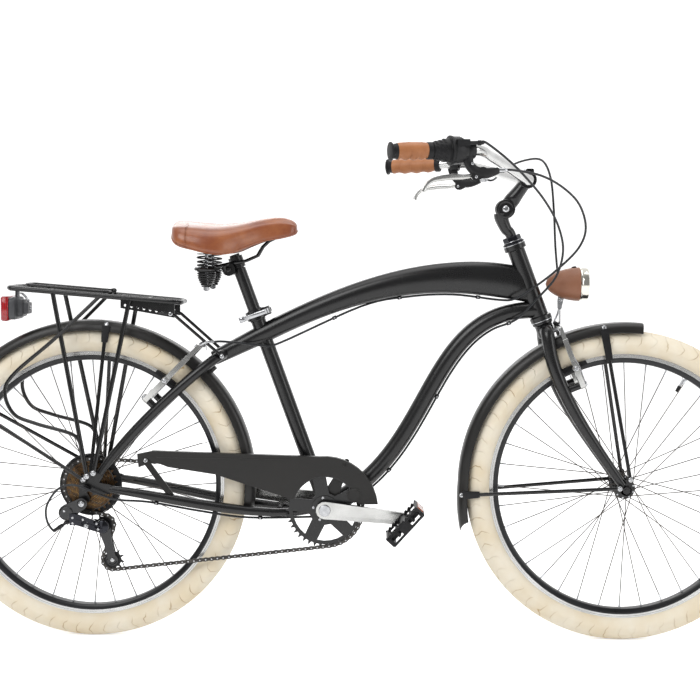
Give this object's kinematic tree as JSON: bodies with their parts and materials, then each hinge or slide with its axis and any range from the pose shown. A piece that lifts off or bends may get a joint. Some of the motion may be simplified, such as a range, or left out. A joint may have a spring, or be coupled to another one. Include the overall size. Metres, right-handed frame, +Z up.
{
  "type": "city bicycle",
  "caption": "City bicycle with swept tubes, mudguards, rear rack, sprung saddle, swept-back handlebar, chain drive and rim brakes.",
  "frame": {"origin": "on the ground under the centre of the bounding box", "axes": "+X forwards along the bicycle, +Z up, -Y towards the chain side"},
  "size_m": [1.8264, 0.6604, 1.0626],
  "materials": {
    "frame_paint": "matt",
    "guard_paint": "matt",
    "black_steel": "satin",
    "bright_steel": "bright",
    "silver": "satin",
    "dark_steel": "oiled",
    "brown_leather": "smooth",
    "brown_rubber": "matt",
    "brown_paint": "satin",
    "cream_rubber": "matt",
    "black_resin": "matt",
    "grey_plastic": "satin",
    "red_lens": "gloss"
  },
  "bodies": {
    "frame": {"head_tube": "frame_paint", "top_tube_and_seat_stays": "frame_paint", "down_tube": "frame_paint", "seat_tube_and_shell": "frame_paint", "chain_stays_and_dropouts": "frame_paint", "seat_collar": "black_steel", "rear_mudguard": "guard_paint", "chain_guard": "guard_paint", "rack": "black_steel", "tail_light_body": "grey_plastic", "tail_light_lens": "red_lens", "rear_axle": "bright_steel", "derailleur_body": "black_steel", "rear_brake_cable": "black_resin", "shift_cable": "black_resin", "chain": "dark_steel"},
    "seat_lever": {"quick_release_lever": "bright_steel"},
    "bail": {"rack_bail": "black_steel"},
    "post": {"seat_post": "black_steel", "saddle_clamp": "black_steel"},
    "saddle": {"saddle": "brown_leather", "saddle_rails": "black_steel", "spring_right": "black_steel", "spring_left": "black_steel"},
    "rear_wheel": {"rear_tyre": "cream_rubber", "rear_rim": "black_steel", "rear_hub_and_spokes": "black_steel", "spoke_protector": "black_resin"},
    "freewheel": {"sprockets": "dark_steel"},
    "crankset": {"chainring": "black_steel", "crank_right_and_axle": "silver", "crank_left": "silver"},
    "pedal_near": {"pedal_right": "black_resin"},
    "pedal_far": {"pedal_left": "black_resin"},
    "cage": {"derailleur_cage": "black_steel"},
    "guide_wheel": {"guide_pulley": "black_resin"},
    "tension_wheel": {"tension_pulley": "black_resin"},
    "steerer": {"fork": "frame_paint", "front_mudguard": "guard_paint", "stem_quill": "black_steel", "front_axle": "bright_steel", "front_brake_cable": "black_resin"},
    "front_wheel": {"front_tyre": "cream_rubber", "front_rim": "black_steel", "front_hub_and_spokes": "black_steel"},
    "bars": {"stem_extension": "black_steel", "handlebar": "silver", "grip_right": "brown_rubber", "grip_left": "brown_rubber", "brake_bracket_right": "black_resin", "brake_bracket_left": "black_resin", "shifter_housing": "black_resin"},
    "twist": {"twist_grip": "black_resin"},
    "lever_near": {"brake_lever_right": "silver"},
    "lever_far": {"brake_lever_left": "silver"},
    "lamp": {"headlight": "brown_paint"},
    "front_arm_near": {"front_brake_arm_right": "silver"},
    "front_arm_far": {"front_brake_arm_left": "silver"},
    "rear_arm_near": {"rear_brake_arm_right": "silver"},
    "rear_arm_far": {"rear_brake_arm_left": "silver"}
  },
  "joints": [
    {"name": "steering", "type": "hinge", "parent": "frame", "child": "steerer", "pos_m": [0.39757, 0, 0.69982], "axis": [-0.3535, 0, 0.9354], "range_deg": [-60, 60], "deforming": ["rear_brake_cable", "shift_cable"]},
    {"name": "stem_tilt", "type": "hinge", "parent": "steerer", "child": "bars", "pos_m": [0.32018, 0, 0.927], "axis": [0, 1, 0], "range_deg": [-10, 34], "deforming": ["front_brake_cable", "rear_brake_cable", "shift_cable"]},
    {"name": "front_wheel_spin", "type": "hinge", "parent": "steerer", "child": "front_wheel", "pos_m": [0.57818, 0, 0.335], "axis": [0, 1, 0], "continuous": true},
    {"name": "rear_wheel_spin", "type": "hinge", "parent": "frame", "child": "rear_wheel", "pos_m": [-0.56282, 0, 0.335], "axis": [0, 1, 0], "continuous": true},
    {"name": "crank_spin", "type": "hinge", "parent": "frame", "child": "crankset", "pos_m": [-0.05932, 0, 0.289], "axis": [0, 1, 0], "continuous": true, "deforming": ["chain"]},
    {"name": "freewheel_spin", "type": "hinge", "parent": "frame", "child": "freewheel", "pos_m": [-0.56282, 0, 0.335], "axis": [0, 1, 0], "continuous": true, "deforming": ["chain"]},
    {"name": "cage_swing", "type": "hinge", "parent": "frame", "child": "cage", "pos_m": [-0.53382, 0, 0.2485], "axis": [0, 1, 0], "range_deg": [0, 30], "stiffness_Nm_per_rad": 0.4, "springref_deg": -17.19, "deforming": ["chain"]},
    {"name": "guide_pulley_spin", "type": "hinge", "parent": "cage", "child": "guide_wheel", "pos_m": [-0.53382, 0, 0.2485], "axis": [0, 1, 0], "continuous": true, "deforming": ["chain"]},
    {"name": "tension_pulley_spin", "type": "hinge", "parent": "cage", "child": "tension_wheel", "pos_m": [-0.51557, 0, 0.17369], "axis": [0, 1, 0], "continuous": true, "deforming": ["chain"]},
    {"name": "pedal_right_spin", "type": "hinge", "parent": "crankset", "child": "pedal_near", "pos_m": [0.11001, 0, 0.27389], "axis": [0, 1, 0], "continuous": true},
    {"name": "pedal_left_spin", "type": "hinge", "parent": "crankset", "child": "pedal_far", "pos_m": [-0.22864, 0, 0.30411], "axis": [0, 1, 0], "continuous": true},
    {"name": "shift_twist", "type": "hinge", "parent": "bars", "child": "twist", "pos_m": [0.15311, -0.28701, 1.03292], "axis": [0.9526, 0.3022, 0.034], "range_deg": [-50, 50]},
    {"name": "brake_lever_right_squeeze", "type": "hinge", "parent": "bars", "child": "lever_near", "pos_m": [0.23698, -0.2646, 0.98384], "axis": [-0.3024, 0.9532, 0], "range_deg": [0, 17.2], "stiffness_Nm_per_rad": 1.5, "springref_deg": -11.46},
    {"name": "brake_lever_left_squeeze", "type": "hinge", "parent": "bars", "child": "lever_far", "pos_m": [0.23698, 0.2646, 0.98384], "axis": [0.3024, 0.9532, 0], "range_deg": [0, 17.2], "stiffness_Nm_per_rad": 1.5, "springref_deg": -11.46},
    {"name": "front_brake_right_close", "type": "hinge", "parent": "steerer", "child": "front_arm_near", "pos_m": [0.48318, -0.0475, 0.558], "axis": [-0.929, 0, -0.37], "range_deg": [0, 2.9], "deforming": ["front_brake_cable"]},
    {"name": "front_brake_left_close", "type": "hinge", "parent": "steerer", "child": "front_arm_far", "pos_m": [0.48318, 0.0475, 0.558], "axis": [0.929, 0, 0.37], "range_deg": [0, 2.9], "deforming": ["front_brake_cable"]},
    {"name": "rear_brake_right_close", "type": "hinge", "parent": "frame", "child": "rear_arm_near", "pos_m": [-0.43846, -0.0505, 0.52282], "axis": [-0.7089, 0, 0.7053], "range_deg": [0, 2.9], "deforming": ["rear_brake_cable"]},
    {"name": "rear_brake_left_close", "type": "hinge", "parent": "frame", "child": "rear_arm_far", "pos_m": [-0.43846, 0.0505, 0.52282], "axis": [0.7089, 0, -0.7053], "range_deg": [0, 2.9], "deforming": ["rear_brake_cable"]},
    {"name": "seat_post_height", "type": "slide", "parent": "frame", "child": "post", "axis": [-0.3437, 0, 0.9391], "range_m": [-0.045, 0.06]},
    {"name": "saddle_tilt", "type": "hinge", "parent": "post", "child": "saddle", "pos_m": [-0.26582, 0, 0.797], "axis": [0, 1, 0], "range_deg": [-12, 12]},
    {"name": "seat_lever_open", "type": "hinge", "parent": "frame", "child": "seat_lever", "pos_m": [-0.18476, -0.0255, 0.7095], "axis": [-0.3437, 0, 0.9391], "range_deg": [0, 170]},
    {"name": "rack_bail_lift", "type": "hinge", "parent": "frame", "child": "bail", "pos_m": [-0.51886, 0, 0.7486], "axis": [0, 1, 0], "range_deg": [0, 90], "stiffness_Nm_per_rad": 0.3, "springref_deg": -28.65},
    {"name": "headlight_tilt", "type": "hinge", "parent": "steerer", "child": "lamp", "pos_m": [0.44018, 0, 0.7355], "axis": [0, 1, 0], "range_deg": [-10, 10]}
  ],
  "couplings": [
    {"joint": "freewheel_spin", "follows": "crank_spin", "ratio": 1.4286},
    {"joint": "guide_pulley_spin", "follows": "crank_spin", "ratio": -3.6364},
    {"joint": "tension_pulley_spin", "follows": "crank_spin", "ratio": 3.6364},
    {"joint": "front_brake_right_close", "follows": "brake_lever_left_squeeze", "ratio": 0.1499},
    {"joint": "front_brake_left_close", "follows": "brake_lever_left_squeeze", "ratio": 0.1499},
    {"joint": "rear_brake_right_close", "follows": "brake_lever_right_squeeze", "ratio": 0.1499},
    {"joint": "rear_brake_left_close", "follows": "brake_lever_right_squeeze", "ratio": 0.1499}
  ]
}
